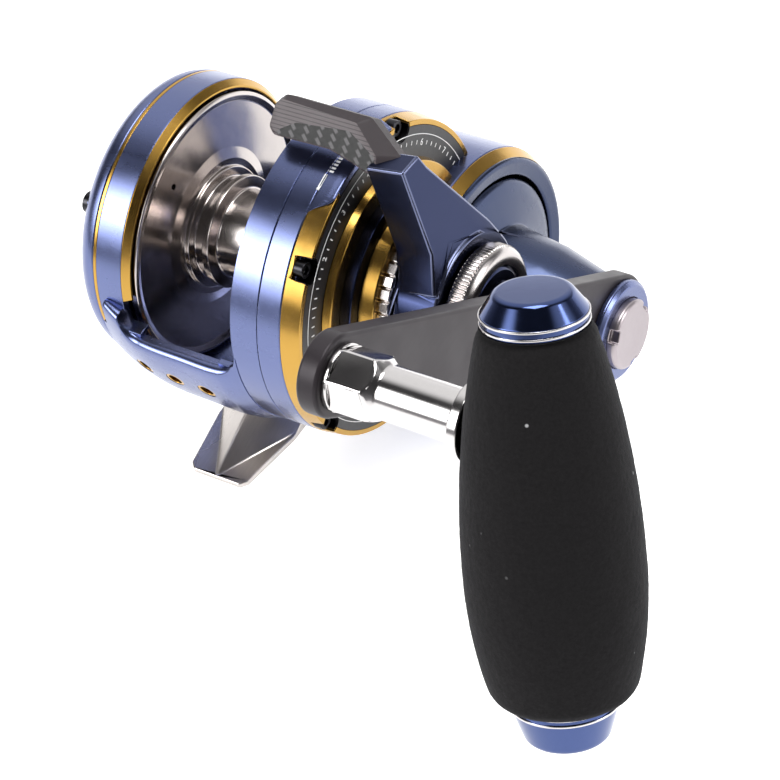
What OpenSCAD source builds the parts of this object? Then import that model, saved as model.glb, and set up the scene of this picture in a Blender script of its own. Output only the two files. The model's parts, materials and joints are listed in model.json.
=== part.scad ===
// Narrow lever-drag trolling and jigging reel, right-hand wind.
// X runs along the spool axis toward the handle, Y toward the rod tip, Z up.
// The origin is the middle of the foot's seating face. Angles named *_at are
// measured in the YZ plane, from +Y (forward) toward +Z (up).

/* [Frame] */
// Height of the spool axis above the rod seat
axis_height = 39; // [38.5:0.5:41]
// Outer radius of the ring on the handle side
right_radius = 35; // [34.5:0.5:35.5]
// Outer radius of the ring on the off side
left_radius = 32.1; // [31.6:0.1:32.6]
// Outer radius of the bars between the two rings
bar_radius = 36.6; // [36:0.1:37]
// Number of drain holes in the rear bar
drain_holes = 3; // [1:1:3]
// Length of the foot along the rod
foot_length = 74.4; // [70:0.2:80]
// Width of the foot at its ends
foot_width = 15; // [14:0.5:16]

/* [Gears] */
// Tooth module of the main gear and pinion
gear_module = 1; // [1:0.01:1.02]
// Teeth on the main gear
main_teeth = 55; // [53:2:55]
// Teeth on the pinion
pinion_teeth = 11; // [11:1:11]

/* [Handle] */
// Distance from the handle shaft to the grip post
arm_length = 112.4; // [90:0.1:115]
// Thickness of the arm
arm_thick = 4.5; // [4:0.1:5]
// Length of the grip from the post to its upper end
grip_upper = 30.5; // [29:0.1:32]
// Length of the grip from the post to its lower end
grip_lower = 57.7; // [56:0.1:59]
// Lean of the grip toward the reel
grip_lean = 8; // [0:1:10]

/* [Drag] */
// Radius of the preset knob
preset_radius = 13.8; // [12:0.1:14]
// Flutes around the preset knob
preset_flutes = 72; // [36:4:80]
// Notches around the click ring
click_notches = 40; // [20:2:48]
// Angle of the drag lever at rest
lever_at = 94; // [80:1:110]

/* [Hidden] */
$fn = 96;

// Stations along X
left_end_x = -33.7;
left_seam_x = -23.2;
left_ring_x = -22.4;
left_inner_x = -16;
spool_left_x = -15.7;
spool_right_x = 14.2;
right_ring_x = 14.3;
right_seam_x = 20.9;
band_x = 26.7;
dial_x = 31.1;
dial_gold_x = 33;
seat_ring_x = 35.4;
strike_ring_x = 38.6;
click_ring_x = 41;
lever_x = 41.4;
lever_end_x = 51.2;
preset_x = 51.6;
preset_end_x = 57;
housing_band_x = 34.4;
housing_flange_x = 36.9;
housing_crease_x = 36.4;
housing_dome_x = 39.2;
housing_screw_x = 36.2;
cone_end_x = 63;
arm_x = 64.5;
arm_end_x = arm_x + arm_thick;
hub_end_x = arm_end_x + 4.1;
collar_x = 96;
collar_radius = 7.6;
grip_x = 112;

// Places in the YZ plane, measured from the spool axis
handle_at = -46;
handle_offset = gear_module * (main_teeth + pinion_teeth) / 2;
housing_radius = 31.8;
arm_at = 139.5;
post_radius = 5.2;
pin_radius = 3;
shank_radius = 3.4;
shank_end_x = arm_x - 1.2;
grip_at = 68;
grip_drop = 1.05;
shaft_radius = 3;
handle_shaft_radius = 4;
screw_at = [133.5, 64, 206];
screw_ring = 33.2;
plate_screw_at = [45, 135, 225, 315];
plate_screw_ring = 26.5;
housing_screw_at = [-125, -60, 5];
housing_screw_ring = 22.6;
clicker_at = 270;
clicker_ring = 20;
stem_radius = 2.2;
drain_at = 196;
drain_pitch = 8.35;
bush_radius = 2.2;
bush_bore = 1.55;
bush_stand = 0.12;

// ---- helpers ----

// Moves children from the spool axis to the frame's origin.
module at_spool() {
    translate([0, 0, axis_height]) children();
}

// Moves children to the handle shaft's axis.
module at_handle() {
    at_spool() rotate([handle_at, 0, 0]) translate([0, handle_offset, 0])
        rotate([-handle_at, 0, 0]) children();
}

// Moves children to the grip post's axis.
module at_post() {
    at_handle() rotate([arm_at, 0, 0]) translate([0, arm_length, 0])
        rotate([-arm_at, 0, 0]) children();
}

// Turns a profile of [radius, x] points about the X axis.
module turned(points) {
    rotate([0, 90, 0]) rotate_extrude() polygon(points);
}

// Round bar or tube along X, from x1 to x2.
module barrel(x1, x2, radius, bore = 0) {
    translate([x1, 0, 0]) rotate([0, 90, 0]) difference() {
        cylinder(h = x2 - x1, r = radius);
        if (bore > 0) translate([0, 0, -1]) cylinder(h = x2 - x1 + 2, r = bore);
    }
}

// Extrudes a YZ outline along X, from x1 to x2.
module slab(x1, x2) {
    translate([x1, 0, 0]) rotate([90, 0, 90]) linear_extrude(x2 - x1) children();
}

// Part of a turned profile, from one angle to another.
module arc_bar(points, from_at, to_at) {
    rotate([from_at, 0, 0]) rotate([90, 0, 90]) rotate_extrude(angle = to_at - from_at)
        polygon(points);
}

// Outline of a plate that covers both the spool end and the gear case.
module case_outline(main_r, gear_r) {
    circle(r = main_r);
    rotate(handle_at) translate([handle_offset, 0]) circle(r = gear_r);
}

// Flat link along +Y with round ends, from x1 to x2. Its web is tucked in a hair, so
// that the sides cross the round ends and don't only touch them.
module tapered_link(x1, x2, r1, r2, length, tuck = 0.04) {
    lean = acos((r1 - r2) / length);
    barrel(x1, x2, r1);
    translate([0, length, 0]) barrel(x1, x2, r2);
    slab(x1, x2) polygon([
        (r1 - tuck) * [cos(lean), sin(lean)],
        [length + (r2 - tuck) * cos(lean), (r2 - tuck) * sin(lean)],
        [length + (r2 - tuck) * cos(lean), (tuck - r2) * sin(lean)],
        (r1 - tuck) * [cos(lean), -sin(lean)]
    ]);
}

// Involute spur gear outline; slack thins each tooth for running clearance.
function unwound(base_r, r) = sqrt(max(0, (r / base_r) ^ 2 - 1)) * 180 / PI
    - acos(min(1, base_r / r));
module gear_outline(m, teeth, tip, root, slack) {
    pitch_r = m * teeth / 2;
    base_r = pitch_r * cos(20);
    half = 90 / teeth - slack / pitch_r * 90 / PI + unwound(base_r, pitch_r);
    low = max(base_r, root);
    steps = [0, 0.35, 0.7, 1];
    polygon([
        for (t = [0:teeth - 1]) let (mid = t * 360 / teeth) each concat(
            [root * [cos(mid - half), sin(mid - half)]],
            [for (k = steps) let (r = low + (tip - low) * k, a = mid - half + unwound(base_r, r))
                r * [cos(a), sin(a)]],
            [for (k = [3:-1:0]) let (r = low + (tip - low) * steps[k],
                a = mid + half - unwound(base_r, r)) r * [cos(a), sin(a)]],
            [root * [cos(mid + half), sin(mid + half)]]
        )
    ]);
}

// Star outline with sharp or blunt points, for knurls and ratchets.
module notched_outline(outer, inner, count, land = 0.5) {
    step = 360 / count;
    polygon([
        for (i = [0:count - 1]) each [
            inner * [cos(i * step), sin(i * step)],
            outer * [cos((i + 0.5 - land / 2) * step), sin((i + 0.5 - land / 2) * step)],
            outer * [cos((i + 0.5 + land / 2) * step), sin((i + 0.5 + land / 2) * step)]
        ]
    ]);
}

// Saw-tooth ring with steep faces on one side, for the one-way ratchet.
module saw_outline(outer, inner, count) {
    step = 360 / count;
    polygon([
        for (i = [0:count - 1]) each [
            inner * [cos(i * step), sin(i * step)],
            outer * [cos((i + 0.12) * step), sin((i + 0.12) * step)],
            outer * [cos((i + 0.2) * step), sin((i + 0.2) * step)]
        ]
    ]);
}

// Moves children onto the grip's own axis, its upper end toward +Z.
module at_grip() {
    at_post() translate([grip_x, 0, 0]) rotate([grip_at, 0, 0])
        rotate([0, 0, grip_lean]) rotate([-90, 0, 0]) translate([0, 0, -grip_drop]) children();
}

// Places children at each angle in a list, at one distance from the X axis.
module around(angles, distance) {
    for (at = angles) rotate([at, 0, 0]) translate([0, distance, 0]) children();
}

// The gear case's round outline as a bar, about the handle shaft.
module case_bar(x1, x2, grow = 0) {
    rotate([handle_at, 0, 0]) translate([0, handle_offset, 0])
        barrel(x1, x2, housing_radius + grow);
}

// Hollow of the gear case, about the handle shaft.
module case_cavity(x1, x2) {
    case_bar(x1, x2, -2.5);
}

// Threaded holes and head pockets of the side plate's screws.
module screw_pockets() {
    around(screw_at, screw_ring) {
        barrel(15, 30, 1.3);
        barrel(27.7, 33, 2.9);
    }
}

// ---- frame and foot ----

bar_inner = 33.2;
bar_profile = [
    [31.4, left_ring_x + 0.6], [bar_inner, left_ring_x + 0.6], [bar_radius - 1.5, left_inner_x],
    [bar_radius - 0.3, -9.7], [bar_radius, 0], [bar_radius, 9.5],
    [right_radius - 0.3, right_ring_x + 0.4], [bar_inner, right_ring_x + 0.4],
    [bar_inner, left_inner_x + 0.3], [31.4, left_inner_x + 0.3]
];
rear_edge_at = 181;
front_edge_at = 338;
corner_r = 5;
corner_steps = 10;
// How far a rounded corner reaches into the parts it joins.
corner_tuck = 0.03;

// Rounded inner corner between a bar's edge and a ring. side is +1 at the right ring and
// -1 at the left one; way is +1 at the rear bar's edge and -1 at the front bar's.
module bar_corner(x, side, edge_at, way, from_r, to_r) {
    intersection() {
        barrel(x - 8, x + 8, to_r, from_r);
        translate([x, 0, 0]) rotate([edge_at, 0, 0]) translate([0, 45, 0]) rotate([90, 0, 0])
            linear_extrude(25) polygon(concat(
                [[side * 0.5, -way], [side * 0.5, way * corner_r]],
                [for (i = [0:corner_steps]) let (a = i * 90 / corner_steps)
                    [-side * (corner_r - (corner_r + corner_tuck) * cos(a)),
                        way * (corner_r - (corner_r + corner_tuck) * sin(a))]],
                [[-side * corner_r, -way]]
            ));
    }
}

// Slanted face along the outer edge of a bar.
bar_chamfer = 1.5;
module bar_edge_cut(edge_at, way) {
    translate([left_inner_x + 0.2, 0, 0]) rotate([edge_at, 0, 0])
        translate([0, bar_radius - bar_chamfer, 0]) rotate([way * 45, 0, 0])
        translate([0, 0, -5]) cube([right_ring_x - left_inner_x - 0.4, 5, 10]);
}

module radial_window(x1, x2, from_at, to_at) {
    arc_bar([[31, x1], [39, x1], [39, x2], [31, x2]], from_at, to_at);
}

module drain_hole(i, radius, from_r, to_r) {
    translate([left_inner_x + 3.3 + i * drain_pitch, 0, 0]) rotate([drain_at, 0, 0])
        translate([0, from_r, 0]) rotate([-90, 0, 0]) cylinder(h = to_r - from_r, r = radius);
}

foot_screw_x = 5;
foot_screw_y = 8;

module frame() color("#2f4f85") difference() {
    at_spool() difference() {
        union() {
            barrel(left_ring_x, left_inner_x, left_radius, 30.2);
            barrel(left_ring_x, left_ring_x + 2.2, 30.6, 13);
            barrel(right_ring_x, right_seam_x, right_radius, 30.3);
            difference() {
                slab(16.4, 18.4) case_outline(right_radius, housing_radius);
                barrel(16, 19, 30.3);
            }
            difference() {
                arc_bar(bar_profile, rear_edge_at, front_edge_at);
                bar_edge_cut(rear_edge_at, -1);
                bar_edge_cut(front_edge_at, 1);
            }
            bar_corner(left_inner_x, -1, rear_edge_at, 1, 31.2, 34.4);
            bar_corner(right_ring_x, 1, rear_edge_at, 1, 33.4, 34.8);
            bar_corner(left_inner_x, -1, front_edge_at, -1, 31.2, 34.4);
            bar_corner(right_ring_x, 1, front_edge_at, -1, 33.4, 34.8);
        }
        for (i = [0:drain_holes - 1]) drain_hole(i, bush_radius, 30, 40);
        radial_window(-12, 10.3, 215, 237);
        radial_window(-12, 10.3, 301, 320);
        around(screw_at, screw_ring) barrel(15.4, 24, 1.3);
        around(plate_screw_at, plate_screw_ring) barrel(-23, -19, 1.3);
        around([clicker_at], clicker_ring) barrel(-23, -19, 2.6);
        case_cavity(18.2, right_seam_x + 1);
    }
    for (sx = [-1, 1], sy = [-1, 1]) translate([sx * foot_screw_x, sy * foot_screw_y, -1])
        cylinder(h = 7.5, r = 1.3);
}

// The bushes stand a hair proud of the bar's curved outer face.
module drain_bushes() color("#d9a92f") at_spool() for (i = [0:drain_holes - 1]) difference() {
    intersection() {
        drain_hole(i, bush_radius, bar_inner, bar_radius + 1);
        turned([
            [0, left_ring_x], [bar_inner + bush_stand, left_ring_x + 0.6],
            [bar_radius - 1.5 + bush_stand, left_inner_x], [bar_radius - 0.3 + bush_stand, -9.7],
            [bar_radius + bush_stand, 0], [bar_radius + bush_stand, 12], [0, 12]
        ]);
    }
    drain_hole(i, bush_bore, 32, 40);
}

foot_plate = 1.4;
foot_peak = 8.8;
facet_tilt = 40;
facet_turn = 29;

// Everything under a slanted face that starts at one end of the foot.
module under_facet(end_y, turn) {
    translate([0, end_y, foot_plate + 0.3]) rotate([0, facet_tilt, turn])
        translate([-70, -70, -140]) cube([140, 140, 140]);
}

// A thin plate with a four-faced ridge that rises to the bar.
module foot() color("#8d8b87") difference() {
    half = foot_length / 2;
    intersection() {
        union() {
            slab(-20, 20) translate([-half, 0]) square([foot_length, foot_plate]);
            intersection() {
                slab(-20, 20) translate([-half, 0]) square([foot_length, foot_peak]);
                under_facet(-half + 0.8, -facet_turn);
                under_facet(-half + 0.8, 180 + facet_turn);
                under_facet(half - 0.8, facet_turn);
                under_facet(half - 0.8, 180 - facet_turn);
            }
        }
        linear_extrude(20) polygon([
            [-foot_width / 2, half - 1.5], [-foot_width / 2 + 1.5, half],
            [foot_width / 2 - 1.5, half], [foot_width / 2, half - 1.5],
            [foot_width / 2 + 2.5, 21], [foot_width / 2 + 2.5, -21],
            [foot_width / 2, -half + 1.5], [foot_width / 2 - 1.5, -half],
            [-foot_width / 2 + 1.5, -half], [-foot_width / 2, -half + 1.5],
            [-foot_width / 2 - 2.5, -21], [-foot_width / 2 - 2.5, 21]
        ]);
    }
    at_spool() barrel(-20, 20, bar_radius);
    for (sx = [-1, 1], sy = [-1, 1]) translate([sx * foot_screw_x, sy * foot_screw_y, -1]) {
        cylinder(h = 9, r = 1.3);
        cylinder(h = 2, r = 2.3);
    }
}

module foot_screws() color("#b9b9bb") for (sx = [-1, 1], sy = [-1, 1])
    translate([sx * foot_screw_x, sy * foot_screw_y, 0.2]) {
        cylinder(h = 0.8, r = 2.3);
        cylinder(h = 5.8, r = 1.3);
    }

// ---- off-side cover ----

dome_power = 2.2;
function dome(r, depth, dx) =
    r * (1 - min(1, dx / depth) ^ dome_power) ^ (1 / dome_power);
dome_steps = 20;
function dome_points(r, depth, x, steps) =
    [for (i = steps) let (dx = depth * sin(i / dome_steps * 90)) [dome(r, depth, dx), x - dx]];
dome_x = left_seam_x - 0.5;
dome_depth = dome_x - left_end_x;
dome_wall = 2.4;
left_bore = left_radius - dome_wall;
screw_seat_x = -28.2;
button_end_x = -34;
button_seat_x = -31.6;
button_pocket_x = -29.2;
shaft_end_x = -30;

// Solid form of the off-side cover, shrunk by a margin.
module dome_solid(margin) {
    turned(concat([[0, left_seam_x], [left_radius - margin, left_seam_x]],
        dome_points(left_radius - margin, dome_depth - margin, dome_x, [0:dome_steps])));
}

module left_plate() color("#2f4f85") at_spool() difference() {
    union() {
        turned(concat(
            [[left_bore, left_seam_x], [left_radius, left_seam_x]],
            dome_points(left_radius, dome_depth, dome_x, [0:dome_steps]),
            dome_points(left_bore, dome_depth - dome_wall, dome_x, [dome_steps:-1:0])
        ));
        intersection() {
            union() {
                barrel(left_end_x, -26, 6.5);
                around([clicker_at], clicker_ring) barrel(left_end_x, -26.6, 6.4);
                around(plate_screw_at, plate_screw_ring) barrel(left_end_x, left_seam_x, 3.2);
            }
            dome_solid(0.5);
        }
    }
    barrel(shaft_end_x, -20, shaft_radius);
    around(plate_screw_at, plate_screw_ring) {
        barrel(-40, -20, 1.3);
        barrel(-40, screw_seat_x, 2.5);
    }
    around([clicker_at], clicker_ring) {
        barrel(-40, -20, stem_radius + 0.05);
        barrel(-40, button_pocket_x, 4.9);
    }
}

module left_pinstripe() color("#d9a92f") at_spool()
    barrel(left_seam_x, left_ring_x, left_radius, left_bore);

// It runs around the frame's opening and ends at the bars' corners.
module left_gold_ring() color("#d9a92f") at_spool() arc_bar([
    [30.2, left_inner_x], [left_radius, left_inner_x], [30.65, left_inner_x + 1.6],
    [30.2, left_inner_x + 1.6]
], front_edge_at - 349, rear_edge_at - 11);

module left_plate_screws() color("#1d1e20") at_spool() around(plate_screw_at, plate_screw_ring)
    difference() {
        union() {
            barrel(screw_seat_x - 1.8, screw_seat_x, 2.4);
            barrel(screw_seat_x, -20.6, 1.3);
        }
        translate([screw_seat_x - 2.2, 0, 0]) rotate([0, 90, 0])
            cylinder(h = 1.6, r = 1.2, $fn = 6);
    }

// ---- handle-side case ----

well_r = 20.4;
strike_pad_at = [84, 105];
case_roof_x = 29;

module right_side_plate() color("#2f4f85") at_spool() difference() {
    union() {
        barrel(right_seam_x, band_x, right_radius);
        barrel(band_x, dial_x - 0.8, 33.2);
        case_bar(18.4, housing_band_x);
        arc_bar([[33, band_x - 0.5], [right_radius, band_x - 0.5], [right_radius - 0.1, dial_x],
            [33.22, dial_x], [33.22, dial_x - 0.85], [33, dial_x - 0.85]],
            strike_pad_at[0], strike_pad_at[1]);
    }
    barrel(right_seam_x - 3, case_roof_x, 30.9);
    barrel(16, right_seam_x, right_radius);
    case_cavity(18, case_roof_x);
    difference() {
        case_cavity(case_roof_x - 1, 40);
        barrel(case_roof_x - 2, 41, well_r + 2);
    }
    barrel(dial_x - 0.8, 40, well_r);
    barrel(28, 40, 7);
    screw_pockets();
}

module bridge_plate() color("#9a9ca0") at_spool() difference() {
    union() {
        slab(18.45, 20.4) case_outline(30.2, housing_radius - 2.6);
        around([handle_at], handle_offset) barrel(18.45, 22.2, 9.3);
    }
    around([handle_at], handle_offset) barrel(18, 23, 7.5);
    barrel(18, 23, 7);
}

module right_gold_ring() color("#d9a92f") at_spool() difference() {
    turned([[33.2, band_x], [right_radius, band_x], [34.4, dial_x], [33.2, dial_x]]);
    case_bar(band_x - 1, dial_x + 1, 0.02);
    screw_pockets();
    arc_bar([[32, band_x - 1], [37, band_x - 1], [37, dial_x + 1], [32, dial_x + 1]],
        strike_pad_at[0], strike_pad_at[1]);
}

module side_plate_screws() color("#17181a") at_spool() around(screw_at, screw_ring) difference() {
    union() {
        barrel(27.7, 30.2, 2.4);
        barrel(15.6, 27.7, 1.3);
    }
    translate([29, 0, 0]) rotate([0, 90, 0]) cylinder(h = 1.6, r = 1.2, $fn = 6);
}

module dial_plate() color("#16171a") at_spool() difference() {
    barrel(dial_x - 0.8, dial_x, 33.2, well_r);
    case_bar(dial_x - 2, dial_x + 1, 0.02);
    screw_pockets();
}

module dial_gold_ring() color("#d9a92f") at_spool() difference() {
    turned([[22.5, dial_x], [26.6, dial_x], [26, dial_gold_x], [22.5, dial_gold_x]]);
    case_bar(dial_x - 1, dial_gold_x + 1, 0.02);
}

module lever_seat_ring() color("#18233c") at_spool() {
    barrel(dial_x - 0.8, seat_ring_x, well_r - 0.02, 12);
    difference() {
        barrel(dial_x, seat_ring_x, 22.5, well_r - 0.5);
        case_bar(dial_x - 1, seat_ring_x + 1, 0.02);
    }
}

module strike_ring() color("#d9a92f") at_spool()
    turned([[12, seat_ring_x], [19.6, seat_ring_x], [19, strike_ring_x], [12, strike_ring_x]]);

module click_ring() color("#c9c6c4") at_spool() difference() {
    slab(strike_ring_x, click_ring_x) notched_outline(17.6, 16.9, click_notches, 0.76);
    barrel(strike_ring_x - 1, click_ring_x + 1, 12);
}

module housing_cover() color("#2f4f85") at_spool() difference() {
    around([handle_at], handle_offset) turned([
        [4.6, housing_band_x], [29.4, housing_band_x], [29.4, housing_flange_x],
        [30.1, housing_flange_x], [30.1, housing_flange_x + 0.5],
        [29.3, housing_flange_x + 1], [26.2, housing_flange_x + 0.5],
        [26, housing_crease_x], [25.6, housing_crease_x], [24.8, housing_crease_x + 1.2],
        [22.4, housing_dome_x - 0.7], [18.6, housing_dome_x], [15.8, housing_dome_x + 0.8],
        [14.2, 52], [11.2, cone_end_x], [4.6, cone_end_x]
    ]);
    barrel(31, strike_ring_x + 0.3, well_r);
    barrel(strike_ring_x, 60, 17.9);
    around([handle_at], handle_offset) {
        barrel(30, 59, 8);
        around(housing_screw_at, housing_screw_ring) {
            barrel(30, 40, 1.1);
            barrel(housing_screw_x, 40, 2.1);
        }
    }
}

module housing_gold_ring() color("#d9a92f") at_spool() difference() {
    around([handle_at], handle_offset) turned([
        [29.4, housing_band_x], [housing_radius, housing_band_x], [29.9, housing_flange_x],
        [29.4, housing_flange_x]
    ]);
    barrel(31, 38, well_r + 2);
}

module housing_screws() color("#17181a") at_spool() around([handle_at], handle_offset)
    around(housing_screw_at, housing_screw_ring) difference() {
        union() {
            barrel(housing_screw_x, housing_screw_x + 1.5, 2);
            barrel(30.6, housing_screw_x, 1.1);
        }
        translate([housing_screw_x + 0.8, 0, 0]) rotate([0, 90, 0]) cylinder(h = 1.6, r = 1, $fn = 6);
    }

// ---- spool train ----

module spool_shaft() color("#c3c4c6") at_spool() barrel(shaft_end_x, 55.4, shaft_radius);

module spool() color("#a8a3a0") at_spool() {
    profile = [
        [8, -15], [27, -15], [28, spool_left_x], [29.66, spool_left_x], [29.66, -13.9],
        [29, -13.5], [24, -14], [13.6, -13.2], [13.6, -12], [11.4, -12], [11.4, -9.4],
        [12.6, -9.4], [12.6, -7.6], [9.8, -7.6], [9.8, 6.1], [12.6, 6.1], [12.6, 7.9],
        [11.4, 7.9], [11.4, 10.5], [13.6, 10.5], [13.6, 11.7], [24, 12.5], [29, 12],
        [29.66, 12.4], [29.66, spool_right_x], [26.6, spool_right_x], [26.6, 13.1], [8, 13.1]
    ];
    turned(profile);
}

module spool_bearings() color("#c3c4c6") at_spool() {
    barrel(-14.8, -10.8, 8, shaft_radius + 0.03);
    barrel(8.9, 12.9, 8, shaft_radius + 0.03);
}

module drag_washer() color("#2b2b2d") at_spool() barrel(13.1, 15.2, 26.6, 12);

module click_ratchet() color("#c3c4c6") at_spool() difference() {
    slab(-17.6, -15) notched_outline(12.6, 11, 24, 0.3);
    barrel(-20, -10, 8.2);
}

module pressure_plate() color("#b4b5b8") at_spool() difference() {
    barrel(15.3, 17.8, 26.2, 4.1);
    around([0:60:300], 19) barrel(15, 18, 2.5);
}

module pinion_gear() color("#c9a35a") at_spool() difference() {
    union() {
        barrel(15.3, 22.4, 4.1);
        slab(22.4, 28.6) rotate(handle_at + 180 / pinion_teeth)
            gear_outline(gear_module, pinion_teeth, gear_module * (pinion_teeth / 2 + 0.9),
                gear_module * (pinion_teeth / 2 - 1.25), 0.1);
    }
    barrel(15, 30, shaft_radius + 0.05);
}

module pinion_bearing() color("#c3c4c6") at_spool() barrel(18.5, 20.4, 7, 4.14);

// ---- lever drag ----

cam_boss_radius = 8.2;

module drag_cam() color("#b4b5b8") at_spool() turned([
    [3.6, 32], [12, 32], [12, 40.6], [cam_boss_radius, 40.8], [cam_boss_radius, 42.4], [3.6, 42.4]
]);

module drag_springs() color("#9fa2a6") at_spool() for (i = [0:3])
    turned([
        [3.5, 43.2 + i * 1.5 + (i % 2) * 0.6], [8.6, 43.2 + i * 1.5 + (1 - i % 2) * 0.6],
        [8.6, 43.9 + i * 1.5 + (1 - i % 2) * 0.6], [3.5, 43.9 + i * 1.5 + (i % 2) * 0.6]
    ]);

blade_lean = 10.4;
blade_root = 14;

// Blade of the lever, from its hub out to the paddle.
module lever_blade() {
    difference() {
        translate([lever_x, blade_root, 0]) rotate([0, 0, blade_lean])
            translate([0, -blade_root, 0]) slab(0, 9.5) polygon([
                [11.9, 10.6], [19.7, 5.9], [40.1, 2.9], [39.4, -2.9], [35.6, -3.7],
                [5.2, -14.6]
            ]);
        barrel(lever_end_x, 60, 30);
        barrel(30, lever_x, 18.3);
    }
}

module drag_lever() color("#243a66") at_spool() rotate([lever_at, 0, 0]) difference() {
    union() {
        barrel(lever_x, lever_end_x, 16);
        lever_blade();
    }
    barrel(42.5, 60, 9.4);
    barrel(30, 60, cam_boss_radius + 0.05);
}

// The paddle lies across the side plate's rim; its length runs along X.
module lever_paddle() color("#232326") at_spool() rotate([lever_at, 0, 0]) difference() {
    translate([0, 40.97, -3.8]) rotate([-50, 0, 0]) translate([0, 0, -2.5])
        linear_extrude(5) polygon([
            [12, -3.4], [13.6, -4.9], [27, -4.6], [33, -6], [38, -7.4], [43.2, -6.4],
            [43, -2.4], [34, 3.8], [13.4, 3.8], [12, 2.4]
        ]);
    lever_blade();
}

module preset_knob() color("#c9c6c4") at_spool() difference() {
    union() {
        slab(preset_x + 0.4, preset_end_x - 1.4)
            notched_outline(preset_radius, preset_radius - 0.45, preset_flutes, 0.5);
        turned([
            [0, preset_x], [preset_radius - 0.9, preset_x],
            [preset_radius - 0.9, preset_end_x - 1.4], [preset_radius - 0.5, preset_end_x - 1.4],
            [preset_radius - 1.4, preset_end_x - 0.3], [preset_radius - 2.2, preset_end_x],
            [0, preset_end_x]
        ]);
    }
    barrel(55.4, 60, 9.9);
    barrel(50, 60, shaft_radius + 0.04);
}

module preset_cap() color("#243a66") at_spool()
    turned([[4.2, 55.4], [9.8, 55.4], [9.8, 56], [9.2, 56.6], [4.2, 56.6]]);

// ---- handle ----

module main_gear() color("#c9a35a") at_handle() difference() {
    slab(22.9, 28.2) rotate(handle_at + 180)
        gear_outline(gear_module, main_teeth, gear_module * (main_teeth / 2 + 0.7),
            gear_module * (main_teeth / 2 - 1.25), 0.1);
    barrel(22, 30, handle_shaft_radius);
    around([0:60:300], 16) barrel(22, 30, 4.6);
}

module handle_shaft() color("#c3c4c6") at_handle() barrel(18.7, 71.4, handle_shaft_radius);

module handle_bearings() color("#c3c4c6") at_handle() {
    barrel(18.7, 22.2, 7.5, handle_shaft_radius + 0.03);
    barrel(54, 59, 8, handle_shaft_radius + 0.03);
}

module reverse_ratchet() color("#b4b5b8") at_handle() difference() {
    slab(28.4, 31.2) saw_outline(8.6, 7, 12);
    barrel(28, 32, handle_shaft_radius);
}

dog_r = 14;
dog_side = -46;
module reverse_dog() color("#b4b5b8") at_handle() rotate([dog_side, 0, 0]) difference() {
    slab(28.8, 31) union() {
        translate([dog_r, 0]) circle(r = 2.6);
        polygon([[dog_r - 2.4, 0.9], [dog_r + 0.8, 2.4], [8.3, 7.9], [6.9, 5.9]]);
    }
    translate([0, dog_r, 0]) barrel(28, 32, 1.25);
}

module dog_pin() color("#c3c4c6") at_handle() rotate([dog_side, 0, 0])
    translate([0, dog_r, 0]) barrel(28.4, housing_band_x, 1.2);

module handle_arm() color("#3a3638") at_handle() rotate([arm_at, 0, 0]) difference() {
    tapered_link(arm_x, arm_end_x, 12.3, 8.2, arm_length);
    barrel(arm_x - 1, arm_end_x + 1, handle_shaft_radius);
    translate([0, arm_length, 0]) barrel(arm_x - 1, arm_end_x + 1, shank_radius);
}

module hub_ring() color("#3a5688") at_handle() turned([
    [7.9, arm_end_x], [11.4, arm_end_x], [11.4, arm_end_x + 1.2], [10.4, arm_end_x + 2.1],
    [7.9, arm_end_x + 2.1]
]);

module handle_nut() color("#d0cac9") at_handle() difference() {
    turned([
        [0, arm_end_x], [7.8, arm_end_x], [7.8, hub_end_x - 0.6], [7.2, hub_end_x],
        [0, hub_end_x]
    ]);
    barrel(60, 71.4, handle_shaft_radius);
    for (side = [0:120:240]) rotate([side + 20, 0, 0]) translate([arm_end_x + 2.2, 6.4, -1.4])
        cube([4, 4, 2.8]);
}

module grip_post() color("#d4d2d1") at_post() intersection() {
    turned([
        [0, shank_end_x], [shank_radius, shank_end_x], [shank_radius, arm_end_x],
        [6.6, arm_end_x],
        [6.6, 77.4], [post_radius, 79.4], [post_radius, collar_x - 0.6],
        [collar_radius, collar_x], [collar_radius, collar_x + 2.2], [pin_radius, collar_x + 2.2],
        [pin_radius, 119.9], [4.4, 119.9], [4.4, 121.6], [0, 121.6]
    ]);
    union() {
        barrel(50, arm_end_x + 1.2, 10);
        slab(arm_end_x + 1.2, 79.4) rotate(20) circle(r = 6.75, $fn = 6);
        barrel(79.4, 130, 10);
    }
}

module post_nut() color("#c3c4c6") at_post() difference() {
    slab(shank_end_x, arm_x) circle(r = 4.6, $fn = 6);
    barrel(50, 80, shank_radius);
}

// ---- grip ----

foam_top = 24.4;
foam_low = -48.4;
function foam_radius(z) = 16.6 - (z > -24 ? 0.00275 : 0.0053) * (z + 24) ^ 2;

module foam_grip() color("#1c1c1d") difference() {
    at_grip() rotate_extrude() polygon(concat(
        [[8, foam_low], [foam_radius(foam_low) - 2.6, foam_low]],
        [for (i = [0:14]) let (z = foam_low + 1.6 + i * (foam_top - foam_low - 3.2) / 14)
            [foam_radius(z), z]],
        [[foam_radius(foam_top) - 1.3, foam_top], [8, foam_top]]
    ));
    at_post() {
        barrel(90, collar_x + 3, collar_radius + 0.4);
        barrel(90, grip_x, 6.3);
        barrel(grip_x, 122.6, 5.2);
    }
}

module grip_core() color("#3c3d40") difference() {
    at_grip() translate([0, 0, foam_low]) cylinder(h = foam_top - foam_low, r = 8);
    at_post() barrel(90, 130, 5.2);
}

module grip_bearings() color("#c3c4c6") at_post() {
    barrel(grip_x - 7.6, grip_x - 3.6, 5.2, pin_radius + 0.03);
    barrel(grip_x + 3.4, grip_x + 7.4, 5.2, pin_radius + 0.03);
}

module grip_top_cap() color("#243a66") at_grip() rotate_extrude() polygon([
    [0, foam_top], [9.5, foam_top], [9.5, foam_top + 2.4], [8.8, foam_top + 4.6],
    [7.8, grip_upper - 1], [6.6, grip_upper - 0.2], [5.6, grip_upper], [0, grip_upper]
]);

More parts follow.
